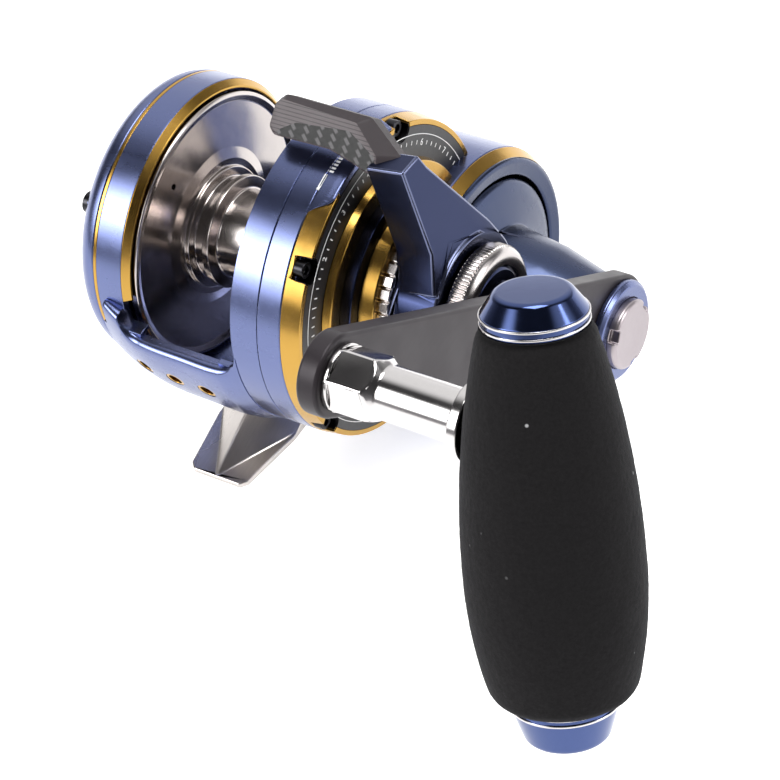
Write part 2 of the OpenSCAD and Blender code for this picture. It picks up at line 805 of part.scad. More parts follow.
module grip_bottom_cap() color("#243a66") at_grip() rotate_extrude() polygon([
    [0, foam_low], [10.1, foam_low], [10.1, foam_low - 2.2], [9.3, foam_low - 4.6],
    [7.8, -grip_lower + 1], [6.6, -grip_lower + 0.2], [5.6, -grip_lower], [0, -grip_lower]
]);

module grip_rings() color("#e0dfde") at_grip() {
    for (z = [foam_top + 0.4, foam_top + 1.8]) translate([0, 0, z]) difference() {
        cylinder(h = 0.45, r = 9.75);
        translate([0, 0, -1]) cylinder(h = 3, r = 9.5);
    }
    for (z = [foam_low - 0.85, foam_low - 2.1]) translate([0, 0, z]) difference() {
        cylinder(h = 0.45, r = 10.35);
        translate([0, 0, -1]) cylinder(h = 3, r = 10.1);
    }
}

// ---- clicker ----

tongue_x = -19.9;

module click_button() color("#c9c6c4") at_spool() around([clicker_at], clicker_ring) {
    barrel(button_end_x, button_seat_x, 4.2);
    barrel(button_seat_x, tongue_x, stem_radius);
}

module click_tongue() color("#b4b5b8") at_spool() rotate([clicker_at, 0, 0]) {
    translate([tongue_x, 12.9, -1]) cube([1, clicker_ring - 12.9, 2]);
    translate([0, clicker_ring, 0]) barrel(tongue_x, tongue_x + 1, stem_radius);
}

// ---- parts ----

frame();
drain_bushes();
foot();
foot_screws();
left_plate();
left_pinstripe();
left_gold_ring();
left_plate_screws();
right_side_plate();
bridge_plate();
right_gold_ring();
side_plate_screws();
dial_plate();
dial_gold_ring();
lever_seat_ring();
strike_ring();
click_ring();
housing_cover();
housing_gold_ring();
housing_screws();
spool_shaft();
spool();
spool_bearings();
drag_washer();
click_ratchet();
pinion_gear();
pressure_plate();
pinion_bearing();
drag_cam();
drag_springs();
drag_lever();
lever_paddle();
preset_knob();
preset_cap();
main_gear();
handle_shaft();
handle_bearings();
reverse_ratchet();
reverse_dog();
dog_pin();
handle_arm();
hub_ring();
handle_nut();
grip_post();
post_nut();
grip_core();
grip_bearings();
foam_grip();
grip_top_cap();
grip_bottom_cap();
grip_rings();
click_button();
click_tongue();
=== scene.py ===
"""Looks of a narrow lever-drag trolling reel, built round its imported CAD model.

Sizes are in millimetres until a mesh is made, and MM turns them into metres.
Angles named *_at run in the YZ plane, from +Y (forward) toward +Z (up), in degrees. Names that
end in _x are places along X, which runs from the off side toward the handle.
"""

import json
import math

import bmesh
import bpy
from mathutils import Matrix, Vector, noise


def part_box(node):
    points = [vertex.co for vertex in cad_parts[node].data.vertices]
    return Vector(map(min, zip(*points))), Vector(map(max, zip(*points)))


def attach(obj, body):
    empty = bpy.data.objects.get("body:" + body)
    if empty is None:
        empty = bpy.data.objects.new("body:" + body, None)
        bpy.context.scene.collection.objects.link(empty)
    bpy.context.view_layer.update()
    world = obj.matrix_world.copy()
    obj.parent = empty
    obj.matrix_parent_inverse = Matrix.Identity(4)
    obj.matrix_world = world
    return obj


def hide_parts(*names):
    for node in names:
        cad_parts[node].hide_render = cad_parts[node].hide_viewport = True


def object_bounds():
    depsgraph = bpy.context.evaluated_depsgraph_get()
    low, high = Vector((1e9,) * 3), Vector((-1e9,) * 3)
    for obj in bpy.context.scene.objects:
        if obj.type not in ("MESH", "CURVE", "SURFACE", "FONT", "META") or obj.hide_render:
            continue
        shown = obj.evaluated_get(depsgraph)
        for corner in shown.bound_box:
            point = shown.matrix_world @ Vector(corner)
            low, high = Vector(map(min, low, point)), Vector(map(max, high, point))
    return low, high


MM = 0.001
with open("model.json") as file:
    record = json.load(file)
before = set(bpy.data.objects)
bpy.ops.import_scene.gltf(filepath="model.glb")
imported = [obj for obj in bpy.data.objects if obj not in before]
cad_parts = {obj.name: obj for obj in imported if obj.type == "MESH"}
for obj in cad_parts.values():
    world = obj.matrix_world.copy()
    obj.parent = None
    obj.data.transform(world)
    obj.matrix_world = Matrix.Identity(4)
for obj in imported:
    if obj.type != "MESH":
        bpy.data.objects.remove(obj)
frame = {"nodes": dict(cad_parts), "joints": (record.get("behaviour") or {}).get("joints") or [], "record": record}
cad_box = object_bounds()


# ---- places taken from the frame ----

def joint_place(name):
    """Where a joint's axis crosses the YZ plane, in millimetres."""
    found = next(j for j in frame["joints"] if j["name"] == name)
    return found["pos_m"][1] / MM, found["pos_m"][2] / MM


def span(node):
    """Lowest and highest X of a CAD node, in millimetres."""
    low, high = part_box(node)
    return low.x / MM, high.x / MM


def along_x(place):
    """Matrix that puts local Z on +X and local X on +Y, through a place in the YZ plane."""
    y, z = place
    axes = Matrix(((0, 0, 1, 0), (1, 0, 0, 0), (0, 1, 0, 0), (0, 0, 0, 1)))
    return Matrix.Translation((0, y * MM, z * MM)) @ axes


def turn(angle, axis):
    """Matrix that turns by an angle in degrees."""
    return Matrix.Rotation(math.radians(angle), 4, axis)


spool_place = joint_place("spool_spin")
handle_place = joint_place("handle_spin")
post_place = joint_place("grip_spin")
SPOOL = along_x(spool_place)
POST = along_x(post_place)

# The grip's own Z axis runs from its lower cap to its upper cap, and crosses the post grip_drop
# above its zero.
grip_x = 112
grip_at = 68
grip_lean = 8
grip_drop = 1.05
GRIP = (
    Matrix.Translation((grip_x * MM, post_place[0] * MM, post_place[1] * MM))
    @ turn(grip_at, "X") @ turn(grip_lean, "Z") @ turn(-90, "X")
    @ Matrix.Translation((0, 0, -grip_drop * MM))
)
lever_at = 94

band_x, dial_x = span("right_gold_ring")
preset_x, preset_end_x = span("preset_knob")


def on_spool(at, radius, x):
    """Matrix of a place at an angle and a distance from the spool axis. Its local X points away
    from the axis and its local Z along +X."""
    return SPOOL @ turn(at, "Z") @ Matrix.Translation((radius * MM, 0, x * MM))


def spool_point(at, radius, x):
    """Point at an angle and a distance from the spool axis."""
    a = math.radians(at)
    return SPOOL @ Vector((radius * math.cos(a) * MM, radius * math.sin(a) * MM, x * MM))


# ---- node materials ----

class Finish:
    """A Principled material with helpers that add nodes to its tree."""

    def __init__(self, name, **values):
        self.material = bpy.data.materials.new(name)
        self.material.use_nodes = True
        self.tree = self.material.node_tree
        self.shader = self.tree.nodes["Principled BSDF"]
        for socket, value in values.items():
            self.shader.inputs[socket.replace("_", " ")].default_value = value

    def add(self, kind, inputs=None, **settings):
        node = self.tree.nodes.new("ShaderNode" + kind)
        for key, value in settings.items():
            setattr(node, key, value)
        for key, value in (inputs or {}).items():
            self.put(node.inputs[key], value)
        return node

    def put(self, socket, value):
        if isinstance(value, bpy.types.NodeSocket):
            self.tree.links.new(value, socket)
        else:
            socket.default_value = value

    def set(self, socket, value):
        self.put(self.shader.inputs[socket], value)

    def math(self, operation, a, b=0.0, c=0.0):
        return self.add("Math", {0: a, 1: b, 2: c}, operation=operation).outputs[0]

    def object_place(self):
        return self.add("TexCoord").outputs["Object"]

    def scaled(self, place, scale):
        """Coordinates times a scale, which may differ along each axis."""
        return self.add("Mapping", {"Vector": place, "Scale": scale}).outputs[0]

    def noise(self, place, scale=1.0, detail=3.0, rough=0.5):
        inputs = {"Vector": place, "Scale": scale, "Detail": detail, "Roughness": rough}
        return self.add("TexNoise", inputs).outputs["Fac"]

    def band(self, value, low, high, to_low=0.0, to_high=1.0):
        """Maps a value from one range to another, clamped and smooth at the ends."""
        inputs = {0: value, 1: low, 2: high, 3: to_low, 4: to_high}
        return self.add("MapRange", inputs, interpolation_type="SMOOTHSTEP").outputs[0]

    def mix(self, share, a, b):
        inputs = {0: share, 6: a, 7: b}
        return self.add("Mix", inputs, data_type="RGBA").outputs[2]

    def bump(self, height, depth, strength=1.0):
        """Adds relief; depth is in metres, and calls stack on top of each other."""
        inputs = {"Height": height, "Distance": depth, "Strength": strength}
        node = self.add("Bump", inputs)
        before = self.shader.inputs["Normal"].links
        if before:
            self.put(node.inputs["Normal"], before[0].from_socket)
        self.set("Normal", node.outputs[0])

    def turned_place(self, place):
        """Coordinates that change only along an axis and away from it. place is the axis's
        crossing of the YZ plane, or None for the object's own Z axis."""
        split = self.add("SeparateXYZ", {0: self.object_place()}).outputs
        if place:
            a, b, along = (
                self.math("SUBTRACT", split[1], place[0] * MM),
                self.math("SUBTRACT", split[2], place[1] * MM),
                split[0],
            )
        else:
            a, b, along = split
        away = self.math("SQRT", self.math("MULTIPLY_ADD", a, a, self.math("MULTIPLY", b, b)))
        return self.add("CombineXYZ", {0: along, 1: away}).outputs[0]


def rgba(colour, gain=1.0):
    """A colour times a gain, with full alpha."""
    return (*[min(1.0, c * gain) for c in colour], 1.0)


def metal(name, colour, rough, place=None, lines=0.0, smudge=0.05, tone=0.12, coat=0.0):
    """Metal with soft smudges, a slow shift of tone, and turning lines about an axis.

    lines is the depth of the turning lines in micrometres, at a pitch of about 0.2 mm.
    """
    finish = Finish(name, Metallic=1.0, Coat_Weight=coat, Coat_Roughness=0.08)
    at = finish.object_place()
    slow = finish.noise(at, 45, 2)
    fine = finish.noise(at, 900, 4, 0.6)
    shift = finish.math("MULTIPLY_ADD", fine, 0.35, finish.math("MULTIPLY", slow, 0.65))
    finish.set("Base Color", finish.mix(shift, rgba(colour, 1 - tone), rgba(colour, 1 + tone)))
    wiped = finish.noise(finish.scaled(at, (70, 160, 110)), 1, 4, 0.65)
    finish.set("Roughness", finish.band(wiped, 0.3, 0.75, rough - smudge / 2, rough + smudge))
    if lines:
        rings = finish.noise(finish.scaled(finish.turned_place(place), (5200,) * 3), 1, 2)
        finish.bump(rings, lines * 1e-6)
    finish.bump(fine, 1.2e-6)
    return finish.material


def brushed(name, colour, rough, direction, depth):
    """Metal with a straight satin grain. direction scales the grain along X, Y and Z."""
    finish = Finish(name, Metallic=1.0)
    at = finish.object_place()
    grain = finish.noise(finish.scaled(at, direction), 1, 4, 0.7)
    slow = finish.noise(at, 60, 3)
    finish.set("Base Color", finish.mix(grain, rgba(colour, 0.86), rgba(colour, 1.1)))
    finish.set("Roughness", finish.band(slow, 0.25, 0.75, rough - 0.05, rough + 0.07))
    finish.bump(grain, depth * 1e-6)
    return finish.material


def twill(finish, place, cell):
    """Two-by-two twill at 45 degrees: 1 on top of each crosswise tow and 0 between them."""
    turned = finish.add("Mapping", {
        "Vector": place, "Rotation": (0, 0, math.radians(45)), "Scale": (1 / (cell * MM),) * 3,
    })
    split = finish.add("SeparateXYZ", {0: turned.outputs[0]}).outputs
    row = finish.math("FLOOR", split[1])
    step = finish.math("FLOORED_MODULO", finish.math("ADD", split[0], row), 4)
    along = finish.band(finish.math("PINGPONG", step, 1), 0.08, 0.5)
    across = finish.band(finish.math("PINGPONG", split[1], 0.5), 0.06, 0.3)
    inside = finish.math("LESS_THAN", step, 2)
    return finish.math("MULTIPLY", inside, finish.math("MULTIPLY", along, across))


def paddle_finish():
    """Woven face of the paddle: grey tows on near-black, under a thin clear coat."""
    finish = Finish("paddle_carbon", Coat_Weight=0.02, Coat_Roughness=0.15, Specular_IOR_Level=0.15)
    at = finish.object_place()
    tow = twill(finish, at, 1.15)
    fibre = finish.noise(finish.scaled(at, (900, 2600, 900)), 1, 3, 0.6)
    grey = finish.mix(fibre, (0.05, 0.047, 0.05, 1), (0.13, 0.125, 0.13, 1))
    finish.set("Base Color", finish.mix(tow, (0.0015, 0.0015, 0.0016, 1), grey))
    finish.set("Roughness", finish.band(fibre, 0.2, 0.8, 0.3, 0.42))
    finish.bump(tow, 3e-5, 0.5)
    return finish.material


def layers_finish():
    """Slanted cut through the laminate, which shows its layers as fine lines."""
    finish = Finish("paddle_layers", Specular_IOR_Level=0.35)
    at = finish.object_place()
    split = finish.add("SeparateXYZ", {0: at}).outputs
    wander = finish.noise(finish.scaled(at, (60, 60, 900)), 1, 3)
    layer = finish.math("MULTIPLY_ADD", wander, 0.4, finish.math("DIVIDE", split[1], 0.8 * MM))
    line = finish.band(finish.math("PINGPONG", layer, 0.5), 0.04, 0.2)
    fibre = finish.noise(finish.scaled(at, (500, 4000, 4000)), 1, 3)
    edge = finish.mix(fibre, (0.05, 0.039, 0.043, 1), (0.11, 0.088, 0.094, 1))
    finish.set("Base Color", finish.mix(line, (0.022, 0.017, 0.019, 1), edge))
    finish.set("Roughness", finish.band(fibre, 0.2, 0.8, 0.38, 0.5))
    finish.bump(line, 1e-5, 0.5)
    return finish.material


def arm_finish():
    """Dark hard-anodized arm with a faint long grain."""
    finish = Finish("arm_grey", Metallic=0.3, Specular_IOR_Level=0.25)
    at = finish.object_place()
    grain = finish.noise(finish.scaled(at, (300, 160, 900)), 1, 4, 0.6)
    cloud = finish.noise(at, 110, 3)
    tone = finish.mix(grain, (0.021, 0.017, 0.02, 1), (0.036, 0.03, 0.034, 1))
    finish.set("Base Color", finish.mix(cloud, tone, (0.031, 0.026, 0.03, 1)))
    finish.set("Roughness", finish.band(cloud, 0.3, 0.7, 0.36, 0.46))
    finish.bump(grain, 4e-6)
    return finish.material


def foam_finish():
    """Closed-cell foam: matte, finely pored, with a few specks of lint."""
    finish = Finish("grip_foam", Sheen_Weight=0.06, Sheen_Roughness=0.45, Specular_IOR_Level=0.12)
    finish.shader.inputs["Sheen Tint"].default_value = (0.55, 0.55, 0.6, 1)
    at = finish.object_place()
    pores = finish.noise(at, 1500, 5, 0.7)
    cloud = finish.noise(at, 70, 3)
    black = finish.mix(pores, (0.004, 0.0038, 0.004, 1), (0.014, 0.0132, 0.0138, 1))
    worn = finish.mix(cloud, black, (0.009, 0.0085, 0.009, 1))
    cells = finish.add("TexVoronoi", {"Vector": at, "Scale": 330}, feature="F1")
    chosen = finish.add("SeparateColor", {0: cells.outputs["Color"]}).outputs
    rare = finish.math("GREATER_THAN", chosen[0], 0.93)
    near = finish.band(cells.outputs["Distance"], 0.05, 0.14, 1, 0)
    speck = finish.math("MULTIPLY", finish.math("MULTIPLY", rare, near), chosen[1])
    finish.set("Base Color", finish.mix(speck, worn, (0.42, 0.42, 0.43, 1)))
    finish.set("Roughness", finish.band(pores, 0.2, 0.8, 0.98, 0.82))
    finish.bump(pores, 9e-5, 0.8)
    return finish.material


def painted(name, colour, rough, tone=0.2, **values):
    """Plain coated or moulded surface with a fine texture and slight unevenness."""
    finish = Finish(name, **values)
    at = finish.object_place()
    fine = finish.noise(at, 1400, 4, 0.6)
    slow = finish.noise(at, 90, 3)
    finish.set("Base Color", finish.mix(slow, rgba(colour, 1 - tone), rgba(colour, 1 + tone)))
    finish.set("Roughness", finish.band(fine, 0.25, 0.75, rough - 0.05, rough + 0.05))
    finish.bump(fine, 2e-6)
    return finish.material


# Base colours, as linear red, green and blue.
BLUE = (0.125, 0.15, 0.29)
# The next colour is the blue anodize darkened to about a third. It is painted shade for the housing cover on the
# handle side, which is the same anodize as the rest.
PAINTED_SHADE_BLUE = (0.045, 0.058, 0.11)
NAVY = (0.026, 0.033, 0.075)
GOLD = (0.45, 0.265, 0.06)
SILVER = (0.5, 0.47, 0.46)

# One look per material slot of the record, and a few that only pieces use.
looks = {
    "blue_anodize": metal("blue_anodize", BLUE, 0.26, spool_place, 1.6, coat=0.1),
    # Darker copy of the blue anodize for the housing cover, as painted shade.
    "blue_case_painted_shade": metal("blue_case_painted_shade", PAINTED_SHADE_BLUE, 0.26, handle_place, 1.6, coat=0.1),
    "navy_anodize": metal("navy_anodize", NAVY, 0.22, spool_place, 1.6),
    "cap_anodize": metal("cap_anodize", (0.06, 0.085, 0.2), 0.12, None, 0.6, 0.03),
    "bright_edge": metal("bright_edge", (0.12, 0.135, 0.22), 0.25, spool_place, 1.0),
    "gold_anodize": metal("gold_anodize", GOLD, 0.22, spool_place, 2.0, tone=0.05),
    "spool_alloy": metal("spool_alloy", (0.5, 0.46, 0.44), 0.16, spool_place, 1.2, 0.04),
    "dial_black": painted("dial_black", (0.012, 0.012, 0.014), 0.38),
    "hub_silver": metal("hub_silver", (0.36, 0.32, 0.335), 0.34, handle_place, 1.0),
    "paddle_layers": layers_finish(),
    "paddle_rim": painted("paddle_rim", (0.03, 0.023, 0.026), 0.5, Specular_IOR_Level=0.3),
    "mark_white": painted("mark_white", (0.8, 0.8, 0.8), 0.5, 0.06),
    "black_screw": metal("black_screw", (0.03, 0.03, 0.034), 0.3, spool_place, 1.0),
    "foot_steel": brushed("foot_steel", (0.58, 0.54, 0.51), 0.3, (2600, 120, 900), 5),
    "polished_steel": metal("polished_steel", (0.6, 0.58, 0.575), 0.13, post_place, 0.5, 0.03),
    "knurled_silver": metal("knurled_silver", SILVER, 0.2, spool_place, 0.8),
    "machined_steel": metal("machined_steel", (0.62, 0.62, 0.63), 0.3, spool_place, 1.5),
    "plain_alloy": metal("plain_alloy", (0.6, 0.61, 0.63), 0.35, spool_place, 2.0),
    "gear_brass": metal("gear_brass", (0.72, 0.5, 0.22), 0.28, handle_place, 1.5),
    "drag_carbon": painted("drag_carbon", (0.04, 0.04, 0.044), 0.55),
    "paddle_carbon": paddle_finish(),
    "arm_grey": arm_finish(),
    "grip_foam": foam_finish(),
    "grip_tube": painted("grip_tube", (0.05, 0.05, 0.055), 0.5),
}


# ---- mesh helpers ----

def body_of_node(node):
    """The body that a CAD node belongs to."""
    return next(b for b, nodes in frame["record"]["behaviour"]["bodies"].items() if node in nodes)


def slot_of_node(node):
    """The material slot of a CAD node."""
    return next(s["material_slot"] for s in frame["record"]["subparts"] if s["node"] == node)


def rounded(profile, radius, closed=True, steps=4):
    """Rounds the corners of a profile of [radius, x] or [radius, x, corner radius] points."""
    out = []
    count = len(profile)
    for i, point in enumerate(profile):
        here = Vector(point[:2])
        r = point[2] if len(point) > 2 else radius
        if r <= 0 or (not closed and i in (0, count - 1)):
            out.append(here)
            continue
        before = Vector(profile[i - 1][:2]) - here
        after = Vector(profile[(i + 1) % count][:2]) - here
        half = before.angle(after) / 2
        cut = min(r / math.tan(half), before.length * 0.48, after.length * 0.48)
        a, b = here + before.normalized() * cut, here + after.normalized() * cut
        for k in range(steps + 1):
            t = k / steps
            out.append(a * (1 - t) ** 2 + here * 2 * t * (1 - t) + b * t ** 2)
    return out


def bridge(bm, one, two, closed=True):
    """Adds the faces between two rows of vertices, and returns them."""
    count = len(one)
    faces = []
    for i in range(count if closed else count - 1):
        k = (i + 1) % count
        faces.append(bm.faces.new((one[i], one[k], two[k], two[i])))
    return faces


def new_object(name, bm, look, sharp=30, weighted=True):
    """Turns a bmesh into a smooth-shaded object with its sharp edges marked."""
    mesh = bpy.data.meshes.new(name)
    bmesh.ops.recalc_face_normals(bm, faces=bm.faces)
    bm.to_mesh(mesh)
    bm.free()
    mesh.shade_smooth()
    mesh.set_sharp_from_angle(angle=math.radians(sharp))
    mesh.materials.append(looks[look])
    obj = bpy.data.objects.new(name, mesh)
    bpy.context.scene.collection.objects.link(obj)
    if weighted:
        obj.modifiers.new("even shading", "WEIGHTED_NORMAL").keep_sharp = True
    return obj


def place_piece(obj, node, hides=True):
    """Makes a piece ride on the body of a CAD node, and replace that node unless hides is off."""
    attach(obj, body_of_node(node))
    if hides:
        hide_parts(node)
    return obj


def lathe(name, profile, place, look, start=0, stop=360, steps=256, closed=True, shape=None):
    """Turns a profile of [radius, height] points about the local Z axis of a place.

    start and stop are in degrees, and less than a full turn gives capped ends. shape gives a
    radius for each point from its radius, height and angle in radians.
    """
    shape = shape or (lambda r, z, a: r)
    bm = bmesh.new()
    whole = stop - start >= 360
    count = steps if whole else max(2, round(steps * (stop - start) / 360)) + 1
    rings = []
    for i in range(count):
        a = math.radians(start + (360 * i / count if whole else (stop - start) * i / (count - 1)))
        rings.append([
            bm.verts.new(place @ (Vector((math.cos(a), math.sin(a), 0)) * shape(r, z, a) * MM
                                  + Vector((0, 0, z * MM))))
            for r, z in profile
        ])
    for i in range(count if whole else count - 1):
        bridge(bm, rings[i], rings[(i + 1) % count], closed)
    if closed and not whole:
        bm.faces.new(rings[0])
        bm.faces.new(rings[-1][::-1])
    bmesh.ops.remove_doubles(bm, verts=bm.verts, dist=1e-7)
    return new_object(name, bm, look)


def break_edges(obj, width, segments, limit):
    """Rounds the edges sharper than limit degrees, to a width in millimetres."""
    bevel = obj.modifiers.new("broken edges", "BEVEL")
    bevel.limit_method = "ANGLE"
    bevel.angle_limit = math.radians(limit)
    bevel.width = width * MM
    bevel.segments = segments
    return bevel


def finished(node, width, look=None, edge_look=None, segments=3):
    """A copy of a CAD node with its edges broken by a small round. The copy takes its place."""
    bm = bmesh.new()
    bm.from_mesh(frame["nodes"][node].data)
    bmesh.ops.remove_doubles(bm, verts=bm.verts, dist=2e-6)
    bmesh.ops.dissolve_degenerate(bm, edges=bm.edges, dist=1e-6)
    bmesh.ops.dissolve_limit(
        bm, angle_limit=math.radians(0.4), verts=bm.verts, edges=bm.edges, delimit=set()
    )
    clean = bmesh.new()
    copies = {v: clean.verts.new(v.co) for v in bm.verts}
    for face in bm.faces:
        clean.faces.new([copies[v] for v in face.verts])
    bm.free()
    obj = new_object(node + "_piece", clean, look or slot_of_node(node), weighted=False)
    bevel = break_edges(obj, width, segments, 30)
    bevel.use_clamp_overlap = False
    bevel.miter_outer = "MITER_ARC"
    if edge_look:
        obj.data.materials.append(looks[edge_look])
        bevel.material = 1
    obj.modifiers.new("even shading", "WEIGHTED_NORMAL").keep_sharp = True
    return place_piece(obj, node)


def carve(obj, cutters):
    """Cuts solids out of a piece and throws the cutters away."""
    for cutter in cutters:
        step = obj.modifiers.new("cut", "BOOLEAN")
        step.operation = "DIFFERENCE"
        step.solver = "EXACT"
        step.object = cutter
    for modifier in [m for m in obj.modifiers if m.type == "WEIGHTED_NORMAL"]:
        obj.modifiers.remove(modifier)
    shape = bpy.data.meshes.new_from_object(
        obj.evaluated_get(bpy.context.evaluated_depsgraph_get())
    )
    obj.modifiers.clear()
    obj.data = shape
    shape.shade_smooth()
    shape.set_sharp_from_angle(angle=math.radians(30))
    obj.modifiers.new("even shading", "WEIGHTED_NORMAL").keep_sharp = True
    for cutter in cutters:
        bpy.data.objects.remove(cutter)
    return obj


def round_cutter(place, radius, low, high):
    """Cylinder on the local Z axis of a place, for carve() to cut with."""
    profile = [(0, low), (radius, low), (radius, high), (0, high)]
    return lathe("cutter", profile, place, "black_screw", steps=64, closed=False)


# ---- frame, foot and side covers ----

# The bar under the spool: its two long edges, the opening between the rings that it crosses,
# and the knots of [x, radius] of its outer face.
bar_from, bar_to = 181, 338
opening_low, opening_high = -16, 14.3
bar_outer = [(-21.9, 33.25), (-16, 35.2), (-9.7, 36.38), (0, 36.68), (9.5, 36.68), (14.7, 35.1)]
bar_inner = 31.1
bar_mean = 35
bar_corner = 5.0
bar_round = 1.5
skin_gap = 0.03
drain_at, drain_radius, drain_pitch = 196, 2.2, 8.35
drain_x = opening_low + 3.3
windows = ((215, 237), (301, 320))
window_low, window_high = -12, 10.3


def smooth_through(knots, x):
    """Height at x of a soft curve through knots of [x, height]."""
    last = len(knots) - 1
    i = next((k for k in range(1, last) if knots[k][0] > x), last)
    (xa, ya), (xb, yb) = knots[i - 1], knots[i]
    before = knots[max(i - 2, 0)]
    after = knots[min(i + 1, last)]
    ma = (yb - before[1]) / (xb - before[0])
    mb = (after[1] - ya) / (after[0] - xa)
    h, t = xb - xa, (x - xa) / (xb - xa)
    return (
        ya * (2 * t ** 3 - 3 * t ** 2 + 1) + h * ma * (t ** 3 - 2 * t ** 2 + t)
        + yb * (3 * t ** 2 - 2 * t ** 3) + h * mb * (t ** 3 - t ** 2)
    )


def soft_step(t):
    """Rises smoothly from 0 to 1 as t does, and stays flat outside."""
    t = max(0.0, min(1.0, t))
    return t * t * (3 - 2 * t)


def bar_stations():
    """Where along X the bar's cross sections are: close together at its soft corners."""
    stations = []
    x, end = opening_low - 4.5, opening_high + 0.35
    while x < end:
        stations.append(x)
        near = min(abs(x - opening_low), abs(x - opening_high))
        x += 0.2 if near < bar_corner + 0.2 else 0.7
    return stations + [end]


def bar_section(x):
    """The bar's cross section at x: a ring of [angle, radius] points."""
    steps, turns = 72, 8
    outer = smooth_through(bar_outer, x) + skin_gap
    inner = bar_inner + max(0, min(2.0, (x - opening_low - 0.3) * 0.4))
    gap = min(x - opening_low, opening_high - x)
    if gap < 0:
        reach = bar_corner + min(1.2, -gap * 0.3)
    elif gap < bar_corner:
        reach = bar_corner - math.sqrt(bar_corner ** 2 - (bar_corner - gap) ** 2)
    else:
        reach = 0
    spread = math.degrees((reach + 2 * skin_gap) / bar_mean)
    pull = math.degrees(bar_round / bar_mean)
    low_at, high_at = bar_from - spread + pull, bar_to + spread - pull
    middle, half = (outer + inner) / 2, (outer - inner) / 2
    along = [low_at + (high_at - low_at) * i / steps for i in range(steps + 1)]
    rounds = [math.pi * i / turns for i in range(1, turns)]
    return (
        [(at, outer) for at in along]
        + [(high_at + pull * math.sin(a), middle + half * math.cos(a)) for a in rounds]
        + [(at, inner) for at in reversed(along)]
        + [(low_at - pull * math.sin(a), middle - half * math.cos(a)) for a in rounds]
    )


def bar():
    """Smooth skin over the bar under the spool: rounded edges, soft corners where it meets the
    two rings, drain holes and windows."""
    bm = bmesh.new()
    loops = [
        [bm.verts.new(spool_point(at, radius, x)) for at, radius in bar_section(x)]
        for x in bar_stations()
    ]
    for one, two in zip(loops, loops[1:]):
        bridge(bm, one, two)
    bm.faces.new(loops[0])
    bm.faces.new(loops[-1][::-1])
    skin = new_object("bar_skin", bm, "blue_anodize", 60)
    cutters = [
        round_cutter(on_spool(drain_at, 30, drain_x + drain_pitch * i) @ turn(90, "Y"),
                     drain_radius, 0, 10)
        for i in range(3)
    ]
    window = [(31, window_low), (39, window_low), (39, window_high), (31, window_high)]
    for low_at, high_at in windows:
        cutters.append(lathe("cutter", window, SPOOL, "black_screw", low_at, high_at))
    carve(skin, cutters)
    place_piece(skin, "frame", hides=False)


# The blue skin by the lever: it fades in over rim_fade degrees and tapers off from rim_full.
rim_radius = 35.06
rim_from, rim_full, rim_to = 66.0, 107.5, 115.5
rim_fade = 5
rim_crease_x = 29.5


def rim():
    """Blue skin over the rim by the lever, where the gold band tapers off, and its marks."""
    steps, columns = 150, 8
    low, high = band_x - 0.06, dial_x + 0.03
    width = high - low - 0.05
    bm = bmesh.new()
    rows = []
    for i in range(steps + 1):
        at = rim_from + (rim_to - rim_from) * i / steps
        stop = high - width * soft_step((at - rim_full) / (rim_to - rim_full))
        stop -= width * soft_step((rim_from + rim_fade - at) / rim_fade)
        row = []
        for k in range(columns + 1):
            x = low + (stop - low) * k / columns
            sink = 0.03 if x < rim_crease_x else 0.12 + 0.02 * (x - rim_crease_x)
            row.append(bm.verts.new(spool_point(at, rim_radius - sink, x)))
        rows.append(row)
    for one, two in zip(rows, rows[1:]):
        bridge(bm, one, two, closed=False)
    skin = new_object("rim_skin", bm, "blue_anodize")
    solid = skin.modifiers.new("thickness", "SOLIDIFY")
    solid.thickness = 0.25 * MM
    solid.offset = -1
    place_piece(skin, "right_gold_ring", hides=False)

    index = (103.2, 26.6, 0.65, 3.9)
    dashes = [(98.5 - 1.5 * i, 27.1, 1.3, 0.45) for i in range(7)]
    bm = bmesh.new()
    for at, x, wide, long in [index] + dashes:
        place = on_spool(at, rim_radius, x) @ turn(90, "Y") @ turn(90, "Z")
        flat_bar(bm, place, wide, long)
    marks = new_object("rim_marks", bm, "mark_white", weighted=False)
    place_piece(marks, "right_side_plate", hides=False)


def frame_and_covers():
    """Everything of the frame and its covers. Widths of the edges' rounds are in millimetres."""
    finished("frame", 0.1, segments=2)
    bar()
    rim()
    finished("foot", 0.3)
    finished("foot_screws", 0.2)
    finished("drain_bushes", 0.12)
    finished("left_plate", 0.35)
    finished("left_pinstripe", 0.12, segments=2)
    finished("left_gold_ring", 0.2, segments=2)
    finished("left_plate_screws", 0.15)
    finished("right_side_plate", 0.35)
    finished("right_gold_ring", 0.15, segments=2)
    cap_screws()
    # The housing cover takes the darker copy of the blue anodize, which paints shade on it.
    finished("housing_cover", 0.45, "blue_case_painted_shade", segments=4)
    finished("housing_gold_ring", 0.2, segments=2)
    finished("housing_screws", 0.12)
    finished("dial_gold_ring", 0.25)
    finished("lever_seat_ring", 0.2)
    finished("strike_ring", 0.25)
    finished("click_ring", 0.14, segments=2)
    finished("click_button", 0.35)


cap_screw_at = (133.5, 64, 206)
cap_screw_ring = 33.2
pocket_floor_x = 27.72


